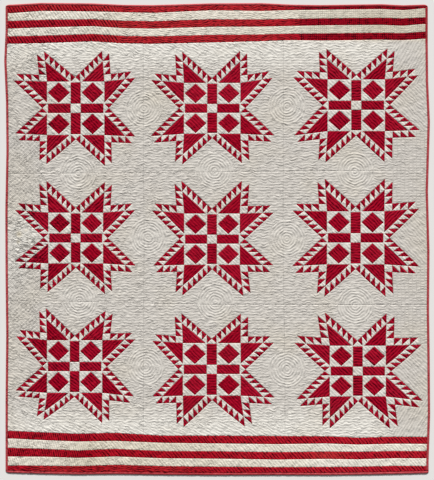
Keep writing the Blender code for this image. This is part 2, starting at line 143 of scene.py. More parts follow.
def woven_cotton(name, fresh, faded, aged, shaded, groove_shade, groove_reach, crease_shade):
    """Plain-weave cotton, quilted by hand: matt, a little fuzzy and puckered along its stitching. Painted
    shade darkens its stitch lines and creases, and its crowns lean towards the faded colour, which on the
    reds is rubbed dye and a painted highlight. Groove reach is how far from a stitch line, in millimetres,
    its painted shade still tells."""
    material = bpy.data.materials.new(name)
    material.use_nodes = True
    tree = material.node_tree
    shader = tree.nodes["Principled BSDF"]
    shader.inputs["Roughness"].default_value = 0.88
    shader.inputs["IOR"].default_value = 1.5
    shader.inputs["Specular IOR Level"].default_value = 0.12
    shader.inputs["Specular Tint"].default_value = linear(fresh)
    shader.inputs["Sheen Weight"].default_value = 0.08
    shader.inputs["Sheen Roughness"].default_value = 0.6
    shader.inputs["Sheen Tint"].default_value = linear(fresh)

    def math_of(operation, first, second=None):
        values = {0: first} if second is None else {0: first, 1: second}
        fixed = {key: value for key, value in values.items() if isinstance(value, (int, float))}
        linked = {key: value for key, value in values.items() if key not in fixed}
        return add(tree, "ShaderNodeMath", {"operation": operation, **fixed}, linked).outputs[0]

    def reading(attribute):
        return add(tree, "ShaderNodeAttribute", {"attribute_name": attribute}).outputs["Fac"]

    def falling(value, start, end):
        settings = {"interpolation_type": "SMOOTHSTEP", 1: start, 2: end, 3: 1.0, 4: 0.0}
        return add(tree, "ShaderNodeMapRange", settings, {0: value}).outputs[0]

    def blended(first, second, share):
        colours = {6: first, 7: second}
        fixed = {key: linear(value) for key, value in colours.items() if isinstance(value, str)}
        linked = {key: value for key, value in colours.items() if key not in fixed}
        settings = {"data_type": "RGBA", **fixed}
        return add(tree, "ShaderNodeMix", settings, {0: share, **linked}).outputs[2]

    place = add(tree, "ShaderNodeTexCoord").outputs["Object"]
    in_mm = add(tree, "ShaderNodeVectorMath", {"operation": "SCALE", "Scale": 1000.0}, {0: place}).outputs[0]

    def noise(length_mm, detail, stretch=(1.0, 1.0, 1.0)):
        """Soft mottling with spots about this many millimetres long."""
        scaled = add(
            tree, "ShaderNodeVectorMath", {"operation": "MULTIPLY", 1: [s / length_mm for s in stretch]},
            {0: in_mm},
        )
        settings = {"Scale": 1.0, "Detail": detail, "Roughness": 0.55}
        return add(tree, "ShaderNodeTexNoise", settings, {"Vector": scaled.outputs[0]}).outputs["Fac"]

    stitch = math_of("ABSOLUTE", reading("stitch"))
    cross = math_of("ABSOLUTE", reading("cross"))
    nearest = math_of("ADD", math_of("MINIMUM", stitch, cross), reading("soft"))
    pull = math_of("ADD", falling(noise(19.0, 1.5), 0.4, 0.6), 0.15)
    pull = math_of("MAXIMUM", pull, math_of("SUBTRACT", 1.0, reading("stray")))
    groove = math_of("MULTIPLY", falling(nearest, 0.3, groove_reach), pull)

    # Washing shrinks the cloth against its stitches, and it crinkles in short creases 10 to 15 mm apart. The
    # creases get a bump and painted shade.
    ridge = math_of("ABSOLUTE", math_of("SUBTRACT", noise(15.0, 2.0, (0.6, 1.1, 1.0)), 0.5))
    tight = falling(noise(55.0, 2.0), 0.34, 0.62)
    crease = math_of("MULTIPLY", falling(ridge, 0.0, 0.075), math_of("ADD", tight, 0.15))
    crease = math_of("MULTIPLY", crease, reading("crinkle"))

    # Real threads are 0.35 mm apart. They are drawn 1.1 mm apart, so that the weave can show at all.
    axes = add(tree, "ShaderNodeSeparateXYZ", {}, {0: in_mm})
    warp = math_of("SINE", math_of("MULTIPLY", axes.outputs["X"], 2 * math.pi / 2.2))
    weft = math_of("SINE", math_of("MULTIPLY", axes.outputs["Y"], 2 * math.pi / 2.2))
    weave = math_of("MULTIPLY", warp, weft)
    slubs = math_of("ADD", noise(26.0, 2.0, (1.0, 16.0, 1.0)), noise(26.0, 2.0, (16.0, 1.0, 1.0)))

    # Hand stitches are about 3 mm long. They are drawn at 5 mm to the stitch, raised in their groove.
    dashes = math_of("SINE", math_of("MULTIPLY", reading("run"), 2 * math.pi / 5.0))
    thread = math_of("MULTIPLY", falling(nearest, 0.2, 0.7), math_of("MAXIMUM", dashes, 0.0))

    washed = noise(70.0, 4.0)
    fade_and_crown_highlight = math_of("ADD", reading("dye"), math_of("MULTIPLY", math_of("SUBTRACT", washed, 0.5), 0.7))
    fade_and_crown_highlight = math_of("ADD", fade_and_crown_highlight, math_of("MULTIPLY", math_of("SUBTRACT", slubs, 1.0), 0.5))
    # Crowns lean towards the faded colour and the cloth beside the stitches away from it: on the reds this
    # is dye rubbed off the crowns together with a painted highlight on them.
    crown = math_of("SUBTRACT", 0.6, falling(nearest, 1.0, 6.0))
    fade_and_crown_highlight = math_of("ADD", fade_and_crown_highlight, math_of("MULTIPLY", crown, 0.7))
    cloth = blended(fresh, faded, add(tree, "ShaderNodeClamp", {}, {0: fade_and_crown_highlight}).outputs[0])
    grime = math_of("SUBTRACT", noise(180.0, 5.0), 0.5)
    soil = math_of("ADD", reading("soil"), math_of("MULTIPLY", grime, 0.7))
    cloth = blended(cloth, aged, add(tree, "ShaderNodeClamp", {}, {0: soil}).outputs[0])
    # Painted shade: the colour darkens towards the shaded colour in the stitch grooves, where shade falls
    # under the raking lamp.
    cloth = blended(cloth, shaded, math_of("MULTIPLY", groove, groove_shade))
    # Painted shade: the creases darken towards the shaded colour as well.
    cloth = blended(cloth, shaded, math_of("MULTIPLY", crease, crease_shade))
    tree.links.new(cloth, shader.inputs["Base Color"])

    puckers = math_of("MULTIPLY", noise(9.0, 2.0), math_of("ADD", math_of("MULTIPLY", groove, 0.9), 0.6))
    puckers = math_of("MULTIPLY", puckers, reading("crinkle"))
    relief = math_of("MULTIPLY", weave, 0.05)
    relief = math_of("ADD", relief, math_of("MULTIPLY", slubs, 0.10))
    relief = math_of("ADD", relief, math_of("MULTIPLY", puckers, 1.5))
    relief = math_of("ADD", relief, math_of("MULTIPLY", thread, 0.25))
    relief = math_of("SUBTRACT", relief, math_of("MULTIPLY", groove, 0.55))
    relief = math_of("SUBTRACT", relief, math_of("MULTIPLY", crease, 0.9))
    bump = add(tree, "ShaderNodeBump", {"Strength": 1.0, "Distance": MM}, {"Height": relief})
    tree.links.new(bump.outputs["Normal"], shader.inputs["Normal"])
    return material


def smooth_noise(seed, shortest, longest, waves=30, spread=math.pi):
    """Seeded gentle unevenness: a function of places, in millimetres, with a spread of about one."""
    rng = np.random.default_rng(seed)
    lengths = np.exp(rng.uniform(math.log(shortest), math.log(longest), waves))
    turns = rng.uniform(-spread, spread, waves)
    shifts = rng.uniform(0, 2 * math.pi, waves)
    waves_x = 2 * math.pi * np.cos(turns) / lengths
    waves_y = 2 * math.pi * np.sin(turns) / lengths
    xs, ys = (np.arange(-reach, reach + 1, NOISE_STEP) for reach in NOISE_REACH)
    level, upright = np.outer(xs, waves_x) + shifts, np.outer(waves_y, ys)
    field = (np.sin(level) @ np.cos(upright) + np.cos(level) @ np.sin(upright)) * math.sqrt(2 / waves)

    def value(points):
        across, up = (points[:, 0] - xs[0]) / NOISE_STEP, (points[:, 1] - ys[0]) / NOISE_STEP
        i, j = across.astype(int), up.astype(int)
        s, t = across - i, up - j
        low = field[i, j] * (1 - s) + field[i + 1, j] * s
        high = field[i, j + 1] * (1 - s) + field[i + 1, j + 1] * s
        return low * (1 - t) + high * t

    return value


wander_x = smooth_noise(11, 60, 200)
wander_y = smooth_noise(12, 28, 62, 40, 0.9)
fullness = smooth_noise(13, 20, 55, 50)
crinkles = smooth_noise(14, 22, 52, 60)
soiling = smooth_noise(15, 120, 600)


def wander(points, stray):
    """How far the hand-sewn rows stray from their marked lines, in millimetres."""
    return np.stack([wander_x(points) * WANDER_X, wander_y(points) * WANDER_Y], 1) * stray


def sewn_place(marked, stray):
    """Where a marked place lies on the quilted cloth, which a few rounds of guessing find."""
    points = marked
    for _ in range(3):
        points = marked - wander(points, stray)
    return points


def rim_of(node):
    """The outline of a CAD node's underside, in millimetres, anticlockwise."""
    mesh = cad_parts[node].data
    mesh.calc_loop_triangles()
    places = [(round(v.co.x / MM, 3), round(v.co.y / MM, 3), v.co.z / MM) for v in mesh.vertices]
    sides = set()
    for triangle in mesh.loop_triangles:
        corners = [places[index] for index in triangle.vertices]
        if max(corner[2] for corner in corners) < 0.01:
            flat = [corner[:2] for corner in corners]
            sides |= set(zip(flat, flat[1:] + flat[:1]))
    before = {end: start for start, end in sides if (end, start) not in sides}
    loop = [next(iter(sorted(before)))]
    while before[loop[-1]] != loop[0]:
        loop.append(before[loop[-1]])
    return np.array(loop)


def grown(outline, amount):
    """An anticlockwise outline moved outwards on all sides, so that neighbouring pieces all but meet."""
    ahead = np.roll(outline, -1, 0) - outline
    normal = np.stack([ahead[:, 1], -ahead[:, 0]], 1) / np.linalg.norm(ahead, axis=1)[:, None]
    mitre = normal + np.roll(normal, 1, 0)
    return outline + mitre * (2 * amount / (mitre**2).sum(1))[:, None]


def stepped(start, end, step=SAMPLE_STEP):
    """Evenly spaced places from start up to, but not including, end."""
    count = max(1, round(math.dist(start, end) / step))
    shares = np.arange(count)[:, None] / count
    return np.array(start) + (np.array(end) - np.array(start)) * shares


def inside(outline, points):
    """Which of the points lie within an outline."""
    within = np.zeros(len(points), bool)
    x, y = points[:, 0], points[:, 1]
    for (ax, ay), (bx, by) in zip(outline, np.roll(outline, -1, 0)):
        if ay != by:
            within ^= ((ay > y) != (by > y)) & (x < ax + (bx - ax) * (y - ay) / (by - ay))
    return within


FAR = 1e9
SEARCH_REACH = 14.0
EDGE_REACH = 12.0


def distance(points, starts, ends):
    """How far each point is from the nearest of some straight lines, if any is within the search's reach."""
    nearest = np.full(len(points), FAR)
    order = np.argsort(points[:, 0])
    sorted_x = points[order, 0]
    for start, end in zip(starts, ends):
        low, high = np.minimum(start, end) - SEARCH_REACH, np.maximum(start, end) + SEARCH_REACH
        first, last = np.searchsorted(sorted_x, (low[0], high[0]))
        near = order[first:last]
        near = near[(points[near, 1] > low[1]) & (points[near, 1] < high[1])]
        if len(near):
            run = end - start
            gap = points[near] - start
            share = np.clip(gap @ run / max(run @ run, 1e-12), 0, 1)
            reach = np.linalg.norm(gap - share[:, None] * run, axis=1)
            nearest[near] = np.minimum(nearest[near], reach)
    return nearest


# How a patch of cloth is quilted: in rows, in rings or not at all. Cross is the pitch of a second set of
# rows. Soft rows are sewn less tight. Stray rows were marked by eye.
Quilting = namedtuple(
    "Quilting", "kind slant pitch cross soft stray middle patch",
    defaults=(0.0, 13.0, 0.0, 0.0, 1.0, None, None),
)
# A second set of rows farther apart than this is faint.
FAINT_CROSS = 20.0
FAINT_SOFTNESS = 1.6
CROWN_ROUNDNESS = 0.75
LEAST_FULL = 0.1
MOST_FULL = 1.15
HIGHEST_CREASE = 0.9
RING_SOFT_START = 60
RING_SOFT_LENGTH = 30
LATTICE_MARGIN = 8.0
PATCH_MARGIN = 6


def lattice(quilting, low, high):
    """Places that follow a patch's quilting, with some of them on every stitch line and crown."""
    step = quilting.pitch / ROW_SAMPLES
    if quilting.kind == "rings":
        rings = [np.array([quilting.middle], float)]
        for ring in range(1, int(RING_REACH / step) + 2):
            count = max(6, round(2 * math.pi * ring * step / ALONG_STEP))
            turns = 2 * math.pi * (np.arange(count) + 0.5 * (ring % 2)) / count
            circle = np.stack([np.cos(turns), np.sin(turns)], 1) * ring * step
            rings.append(circle + np.array(quilting.middle))
        return np.concatenate(rings)
    along_step = quilting.cross / round(quilting.cross / ALONG_STEP) if quilting.cross else ALONG_STEP
    middle = (low + high) / 2
    reach = np.linalg.norm(high - low) / 2 + LATTICE_MARGIN
    cos, sin = math.cos(quilting.slant), math.sin(quilting.slant)
    along = middle @ (cos, sin)
    across = middle @ (-sin, cos)
    rows = np.arange(math.ceil((across - reach) / step), math.floor((across + reach) / step) + 1)
    runs = np.arange(math.ceil((along - reach) / along_step), math.floor((along + reach) / along_step) + 1)
    row, run = np.meshgrid(rows, runs, indexing="ij")
    run = run + 0.5 * (row % 2) * (quilting.cross == 0)
    row, run = row.ravel() * step, run.ravel() * along_step
    return np.stack([run * cos - row * sin, run * sin + row * cos], 1)


def rows_at(quilting, points, centres):
    """How far points are from the stitch lines nearest to some centres, and how far along those lines."""
    marked = points + wander(points, quilting.stray)
    marked_centres = centres + wander(centres, quilting.stray)
    nothing = np.full(len(points), NO_STITCH)
    if quilting.kind == "plain":
        return nothing, nothing, points[:, 0]
    if quilting.kind == "rings":
        spoke, spoke_centre = marked - quilting.middle, marked_centres - quilting.middle
        across = np.linalg.norm(spoke, axis=1)
        across_centre = np.linalg.norm(spoke_centre, axis=1)
        turn = np.arctan2(spoke[:, 1], spoke[:, 0])
        turn_centre = np.arctan2(spoke_centre[:, 1], spoke_centre[:, 0])
        turn = turn_centre + (turn - turn_centre + math.pi) % (2 * math.pi) - math.pi
        line = np.round(across_centre / quilting.pitch) * quilting.pitch
        return across - line, nothing, turn * line
    cos, sin = math.cos(quilting.slant), math.sin(quilting.slant)
    across, along = marked @ (-sin, cos), marked @ (cos, sin)
    across_centre, along_centre = marked_centres @ (-sin, cos), marked_centres @ (cos, sin)
    stitch = across - np.round(across_centre / quilting.pitch) * quilting.pitch
    if not quilting.cross:
        return stitch, nothing, along
    cross = along - np.round(along_centre / quilting.cross) * quilting.cross
    if quilting.cross > FAINT_CROSS:
        cross = np.abs(cross) + FAINT_SOFTNESS
    return stitch, cross, along + across


def crowned(quilting, stitch, cross):
    """How full the cloth stands between its stitch lines, from 0 in a line to 1 on a crown."""
    if quilting.kind == "plain":
        return np.full(len(stitch), 0.8)
    full = np.sin(math.pi / 2 * np.clip(np.abs(stitch) / (quilting.pitch / 2), 0, 1)) ** CROWN_ROUNDNESS
    full = full * (1 - quilting.soft / 3) + quilting.soft / 4
    if quilting.kind == "rings":
        return full * RING_FULLNESS
    if quilting.cross:
        reach = min(quilting.cross, quilting.pitch) / 2
        level = 0.0 if quilting.cross < FAINT_CROSS else 0.6
        crossing = np.sin(math.pi / 2 * np.clip(np.abs(cross) / reach, 0, 1)) ** CROWN_ROUNDNESS
        full = full * (level + (1 - level) * crossing)
    return full


class Cloth:
    """A flat triangle mesh of cloth inside an outline, with edges along every seam and points along its
    quilting, then its upper face's heights and what its material reads."""

    def __init__(self, outline, seams, patches, quiltings, zone_at, step=SAMPLE_STEP):
        sides = zip(outline, np.roll(outline, -1, 0))
        rim = np.concatenate([stepped(start, end, step) for start, end in sides])
        starts, ends = self.seam_net(seams)
        self.rim = (outline, np.roll(outline, -1, 0))
        self.seams = (starts, ends)
        self.quiltings = quiltings
        self.zone_at = zone_at
        corners = [rim]
        count = len(rim)
        edges = []
        for start, end in zip(starts, ends):
            run = np.concatenate([stepped(start, end), [end]])
            edges += [(count + i, count + i + 1) for i in range(len(run) - 1)]
            corners.append(run)
            count += len(run)
        rings = [list(range(len(rim)))]
        for patch in patches:
            rings.append(list(range(count, count + len(patch))))
            corners.append(np.array(patch))
            count += len(patch)
        corners.append(self.field(outline))
        points = np.concatenate(corners).tolist()
        places, _, faces, _, _, owners = delaunay_2d_cdt(points, edges, rings, 1, SAME_PLACE)
        self.points = np.array([tuple(place) for place in places])
        self.faces = np.array(faces)
        self.patch = np.array([max(owner) for owner in owners]) - 1
        self.measure()

    def seam_net(self, seams):
        """The seams cut where they meet, so that no stretch is there twice."""
        if not seams:
            return np.zeros((0, 2)), np.zeros((0, 2))
        points, edges = [], []
        for seam in seams:
            edges += [(len(points) + i, len(points) + i + 1) for i in range(len(seam) - 1)]
            points += [tuple(map(float, place)) for place in seam]
        places, sides, _, _, sources, _ = delaunay_2d_cdt(points, edges, [], 0, SAME_PLACE)
        kept = np.array([side for side, source in zip(sides, sources) if source])
        places = np.array([tuple(place) for place in places])
        return places[kept[:, 0]], places[kept[:, 1]]

    def field(self, outline):
        """Places inside the outline, on their own patch's lattice and clear of every seam."""
        low, high = outline.min(0), outline.max(0)
        found = []
        for zone, quilting in enumerate(self.quiltings):
            if quilting.patch is not None:
                low = quilting.patch.min(0) - PATCH_MARGIN
                high = quilting.patch.max(0) + PATCH_MARGIN
            marked = lattice(quilting, low, high)
            marked = marked[((marked > low) & (marked < high)).all(1)]
            points = sewn_place(marked, quilting.stray)
            points = points[inside(outline, points)]
            found.append(points[self.zone_at(points) == zone])
        points = np.concatenate(found)
        points = points[distance(points, *self.rim) > CLEAR_OF_SEAM]
        return points[distance(points, *self.seams) > CLEAR_OF_SEAM]

    def measure(self):
        """Heights of the points, and for each corner of each face its place in the quilting."""
        points = self.points
        self.from_rim = np.minimum(distance(points, *self.rim), EDGE_REACH)
        from_seam = distance(points, *self.seams)
        zones = self.zone_at(points)
        full = np.zeros(len(points))
        for zone, quilting in enumerate(self.quiltings):
            chosen = zones == zone
            if chosen.any():
                stitch, cross, _ = rows_at(quilting, points[chosen], points[chosen])
                full[chosen] = crowned(quilting, stitch, cross)
        crinkle = crinkle_at(points)
        filled = np.clip(0.64 + 0.26 * fullness(points), LEAST_FULL, MOST_FULL)
        full *= filled * np.minimum(0.7 + 0.3 * crinkle, 1.05)
        full *= CROWN_HEIGHT - STITCH_HEIGHT
        ridges = np.minimum(np.abs(crinkles(points)), 1.2) ** 0.7
        height = STITCH_HEIGHT + full + CRINKLE * ridges * crinkle
        height -= SEAM_DROP * np.exp(-((from_seam / SEAM_REACH) ** 2))
        height -= SEAM_DROP * np.exp(-((self.from_rim / SEAM_REACH) ** 2))
        self.height = np.minimum(height, CROWN_HEIGHT + HIGHEST_CREASE)
        centres = points[self.faces].mean(1)
        face_zones = self.zone_at(centres)
        names = ("stitch", "cross", "run", "soft", "stray")
        self.corners = {name: np.zeros(self.faces.shape) for name in names}
        for zone, quilting in enumerate(self.quiltings):
            chosen = np.nonzero(face_zones == zone)[0]
            if len(chosen):
                places = points[self.faces[chosen]].reshape(-1, 2)
                around = np.repeat(centres[chosen], 3, 0)
                values = rows_at(quilting, places, around)
                for name, value in zip(self.corners, values):
                    self.corners[name][chosen] = value.reshape(-1, 3)
                self.corners["soft"][chosen] = quilting.soft
                if quilting.kind == "rings":
                    reach = np.linalg.norm(places - quilting.middle, axis=1).reshape(-1, 3)
                    self.corners["soft"][chosen] = 0.8 * rising(reach, RING_SOFT_START, RING_SOFT_LENGTH)
                self.corners["stray"][chosen] = quilting.stray
        self.corners["soil"] = soil_at(points)[self.faces]
        self.corners["crinkle"] = crinkle[self.faces]


# Spots as x, y, their reach along x and y, and their strength.
CRINKLED_SPOTS = [(x, y, 75, 75, -0.45) for x, y in MEDALLIONS]
CRINKLED_SPOTS += [(-890, 0, 110, 150, 1.4), (-890, 830, 160, 120, 0.6)]
STAINS = ((-912, 23, 13, 13, 1.0), (-916, -13, 9, 9, 0.8), (-880, 40, 7, 7, 0.5))
BLEACHED_SPOT = (-890, 0, 130, 160, 0.7)


def spot(points, x, y, reach_x, reach_y, strength):
    """A soft round patch that fades out from its middle."""
    return strength * np.exp(-(((points[:, 0] - x) / reach_x) ** 2) - ((points[:, 1] - y) / reach_y) ** 2)


def rising(values, start, length):
    """0 up to a start, then up to 1 over a length."""
    return np.clip((values - start) / length, 0, 1)


def crinkle_at(points):
    """How much the cloth has shrunk and crinkled: most at the quilt's left side, least in the medallions."""
    x = points[:, 0]
    crinkle = 0.9 - 0.3 * x / 980 + 0.35 * rising(-x, 720, 120)
    return crinkle + sum(spot(points, *crinkled) for crinkled in CRINKLED_SPOTS)


def soil_at(points):
    """Yellowing towards the quilt's sides, and a few old stains."""
    x, y = points[:, 0], points[:, 1]
    soil = 0.02 + 0.07 * soiling(points) + 0.12 * rising(np.abs(x), 780, 180)
    soil += 0.6 * rising(x, 200, 400) * rising(y, 900, 20)
    soil += 0.6 * np.exp(-(((x + 300) / 480) ** 2)) * rising(-y, 900, 20)
    return soil + sum(spot(points, *stain) for stain in STAINS)


def loop_round(faces):
    """The points round the outside of some faces that hang together, anticlockwise."""
    sides = {(a, b) for face in faces for a, b in zip(face, (*face[1:], face[0]))}
    following = {start: end for start, end in sides if (end, start) not in sides}
    loop = [min(following)]
    while following[loop[-1]] != loop[0]:
        loop.append(following[loop[-1]])
    return loop


PATCH_TAPER = 0.985


def closed_piece(name, cloth, chosen, loops, dye):
    """A closed mesh from some of a cloth's faces. Each loop is its points, its base height and whether it
    is a recess for a patch. Sides go straight down to a flat base, but a patch tapers a little."""
    faces = cloth.faces[chosen]
    used, compact = np.unique(faces, return_inverse=True)
    index = {old: new for new, old in enumerate(used.tolist())}
    upper = np.column_stack([cloth.points[used], cloth.height[used]])
    shell = compact.reshape(faces.shape).tolist()
    lower = []
    flat = []
    for loop, base, recess in loops:
        first = len(used) + len(lower)
        size = len(loop)
        middle = cloth.points[loop].mean(0)
        share = PATCH_TAPER if base and not recess else 1.0
        lower += [(*(middle + (cloth.points[i] - middle) * share), base) for i in loop]
        for step in range(size):
            after = (step + 1) % size
            top, top_after = index[loop[step]], index[loop[after]]
            if recess:
                shell.append([top_after, first + after, first + step, top])
            else:
                shell.append([top, first + step, first + after, top_after])
        ring = [first + step for step in range(size)]
        flat.append(ring if recess else ring[::-1])
    vertices = np.concatenate([upper, np.array(lower)]) * MM
    mesh = bpy.data.meshes.new(name)
    mesh.from_pydata(vertices.tolist(), [], shell + flat)
    smooth = np.zeros(len(mesh.polygons), bool)
    smooth[: len(faces)] = True
    mesh.polygons.foreach_set("use_smooth", smooth)
    total = len(mesh.loops)
    for attribute, values in {**cloth.corners, "dye": dye}.items():
        filled = np.zeros(total)
        top = np.broadcast_to(values, cloth.faces.shape)[chosen].ravel()
        filled[: len(top)] = top
        mesh.attributes.new(attribute, "FLOAT", "CORNER").data.foreach_set("value", filled)
    mesh.update()
    piece = bpy.data.objects.new(name, mesh)
    bpy.context.scene.collection.objects.link(piece)
    return piece


def enclosed(outline):
    """The area inside an outline, above zero if it runs anticlockwise."""
    x, y = outline.T
    return (np.dot(x, np.roll(y, -1)) - np.dot(y, np.roll(x, -1))) / 2


def anticlockwise(corners):
    outline = np.array(corners)
    return outline if enclosed(outline) > 0 else outline[::-1]


def mix(first, second, share):
    return tuple(a + (b - a) * share for a, b in zip(first, second))


def sewn(star, x, y):
    """Where a drafted place, in units from the star's middle, lies on this star as it was sewn."""
    side = 1 if x >= 0 else -1
    rise = 1 if y >= 0 else -1
    upright = {(-1, 1): star.top_left, (1, 1): star.top_right,
               (-1, -1): star.bottom_left, (1, -1): star.bottom_right}
    level = {(-1, 1): star.left_top, (1, 1): star.right_top,
             (-1, -1): star.left_bottom, (1, -1): star.right_bottom}
    scale_x = star.half[0] / NINE_PATCH
    scale_y = star.half[1] / NINE_PATCH
    nearest_x = max(-NINE_PATCH, min(NINE_PATCH, x))
    nearest_y = max(-NINE_PATCH, min(NINE_PATCH, y))
    base = (star.middle[0] + nearest_x * scale_x, star.middle[1] + nearest_y * scale_y)
    reach = TIP - NINE_PATCH
    beyond_x = (abs(x) - NINE_PATCH) / reach
    beyond_y = (abs(y) - NINE_PATCH) / reach
    place = base
    if beyond_y > 0:
        end = mix(upright[-1, rise], upright[1, rise], (nearest_x + NINE_PATCH) / (2 * NINE_PATCH))
        place = mix(base, end, beyond_y)
    if beyond_x > 0:
        end = mix(level[side, -1], level[side, 1], (nearest_y + NINE_PATCH) / (2 * NINE_PATCH))
        step = mix(base, end, beyond_x)
        place = (place[0] + step[0] - base[0], place[1] + step[1] - base[1])
    return place


def eightfold(points):
    """The eight mirrored and turned copies of some drafted points."""
    copies = []
    for swapped in (False, True):
        for side in (1, -1):
            for rise in (1, -1):
                turned = [(y, x) if swapped else (x, y) for x, y in points]
                copies.append([(x * side, y * rise) for x, y in turned])
    return copies


def star_outline_draft():
    """The edge of the star from valley to valley, round all four arms."""
    n, side, end = NINE_PATCH, NINE_PATCH + LEG_WIDTH, LEG_RUNGS[-1]
    outer = arm_edges_draft()[0]
    quarter = outer[::-1] + [(n, end), (side, end), (side, side), (end, side), (end, n)]
    quarter += [(y, x) for x, y in outer[:-1]]
    outline = []
    for cos, sin in ((1, 0), (0, -1), (-1, 0), (0, 1)):
        outline += [(x * cos - y * sin, x * sin + y * cos) for x, y in quarter]
    return outline[::-1]


def arm_edges_draft():
    """The outer and the inner edge of the row of feathers along an arm, from its tip to the valley."""
    n = NINE_PATCH
    outer = [(n - k, TIP - k) for k in range(ARM_FEATHERS + 1)]
    inner = [(n - k, max(n, TIP - FEATHER_DEPTH - k)) for k in range(ARM_FEATHERS)]
    return outer, inner


def red_patches_draft(bar_slant):
    """Every red patch with the slant of its quilting rows, or none for a small triangle."""
    c, n, d, i, e = CENTRE, NINE_PATCH, DIAMOND_POINT, DIAMOND_INSET, BAR_END
    patches = []
    for side in (1, -1):
        patches.append(([(-c, c * side), (c, c * side), (c, e * side), (-c, e * side)], bar_slant))
        patches.append(([(c * side, -c), (c * side, c), (e * side, c), (e * side, -c)], -math.pi / 4))
        for rise in (1, -1):
            corners = ((d, c + i), (n - i, d), (d, n - i), (c + i, d))
            patches.append(([(x * side, y * rise) for x, y in corners], -math.pi / 4))
    outer, inner = arm_edges_draft()
    foot = n - VALLEY + FEATHER_DEPTH
    for triangle in eightfold([(n, n), *inner[:-1], (foot, n)]):
        (ax, ay), (bx, by) = triangle[1], triangle[-1]
        patches.append((triangle, math.atan2(by - ay, bx - ax)))
    small = [[outer[k], outer[k + 1], inner[k]] for k in range(ARM_FEATHERS)]
    w = n + LEG_WIDTH
    small += [[(n, low), (w, low), (w, high)] for low, high in zip(LEG_RUNGS, LEG_RUNGS[1:])]
    for corners in small:
        patches += [(copy, None) for copy in eightfold(corners)]
    return patches


def white_seams_draft():
    """The seams that no red patch borders: between the star's white patches, and along its outline."""
    c, n, d, i = CENTRE, NINE_PATCH, DIAMOND_POINT, DIAMOND_INSET
    w = n + LEG_WIDTH
    seams = eightfold([(c, BAR_END), (c, n), (n, n)]) + eightfold([(0, n), (c, n)])
    seams += eightfold([(d, c + i), (d, c)]) + eightfold([(n - i, d), (n, d)])
    seams += [[(-c, c), (c, c), (c, -c), (-c, -c), (-c, c)]] + eightfold([(c, c), (n, c)])
    seams += eightfold([(n, n), (n, TIP)]) + eightfold([(w, w), (w, LEG_RUNGS[-1]), (n, LEG_RUNGS[-1])])
    seams += eightfold([(n, w), (w, w)])
    return seams + eightfold(arm_edges_draft()[0])


# The zones of a block, and how each of them is quilted, in the same order.
STAR, ROWS, LEFT_HATCH, RIGHT_GRID, LEFT_NOTCH, RIGHT_NOTCH, LEFT_END, RIGHT_END = range(8)
GROUND_QUILTINGS = [
    Quilting("rows", -math.pi / 4, pitch=12.8, soft=0.4, stray=0.4),
    Quilting("rows", cross=48.0, soft=0.2),
    Quilting("rows", math.pi / 4, pitch=14.0, cross=14.0, soft=-0.4, stray=0.5),
    Quilting("rows", cross=18.0, soft=0.5, stray=0.6),
    Quilting("rows", -math.pi / 7, soft=0.2),
    Quilting("rows", -math.pi / 4, soft=0.6),
    Quilting("rows", -math.pi / 7, soft=0.2),
    Quilting("rows", math.pi / 3, soft=0.6, stray=0.8),
]
PATCH_PITCH = 12.6
RING_PITCH = 12.5


def block_zones(star, edge, rings, rowed):
    """A function that says which quilting is used where in one block."""

    def zone_at(points):
        x, y = points[:, 0], points[:, 1]
        zone = np.full(len(points), ROWS)
        notch = np.abs(y - star.middle[1]) < NOTCH
        zone[(x < -MARGIN) & ~notch] = LEFT_HATCH
        zone[(x > MARGIN) & ~notch] = RIGHT_GRID
        zone[(x < -MARGIN) & notch] = LEFT_NOTCH
        zone[(x > MARGIN) & notch] = RIGHT_NOTCH
        zone[(x < -MARGIN) & (np.abs(y) > MARGIN_END)] = LEFT_END
        zone[(x < RIGHT_START) & (np.abs(y) > BAND_START)] = LEFT_END
        zone[(x > MARGIN) & (np.abs(y) > MARGIN_END)] = RIGHT_END
        for number, middle in rings:
            zone[np.hypot(x - middle[0], y - middle[1]) < RING_REACH] = number
        zone[inside(edge, points)] = STAR
        for number, patch in rowed:
            low, high = patch.min(0), patch.max(0)
            near = np.nonzero(((points > low) & (points < high)).all(1))[0]
            zone[near[inside(patch, points[near])]] = number
        return zone

    return zone_at


# Bleached muslin: a warm white that yellows where it was handled, with painted shade greying it a little in
# its stitch lines and creases.
bleached_muslin = woven_cotton(
    "bleached_muslin", fresh="#F1EEE6", faded="#D6D1CA", aged="#D6CCB6", shaded="#7C7872",
    groove_shade=0.32, groove_reach=3.2, crease_shade=0.25,
)
# Turkey-red calico: a deep madder red, dyed right through the thread. Its crowns go towards pink, partly
# from dye rubbed off them and partly as a painted highlight, and painted shade darkens its stitch lines and
# creases.
turkey_red_calico = woven_cotton(
    "turkey_red_calico", fresh="#A20724", faded="#B21932", aged="#941825", shaded="#260006",
    groove_shade=0.8, groove_reach=4.2, crease_shade=0.35,
)

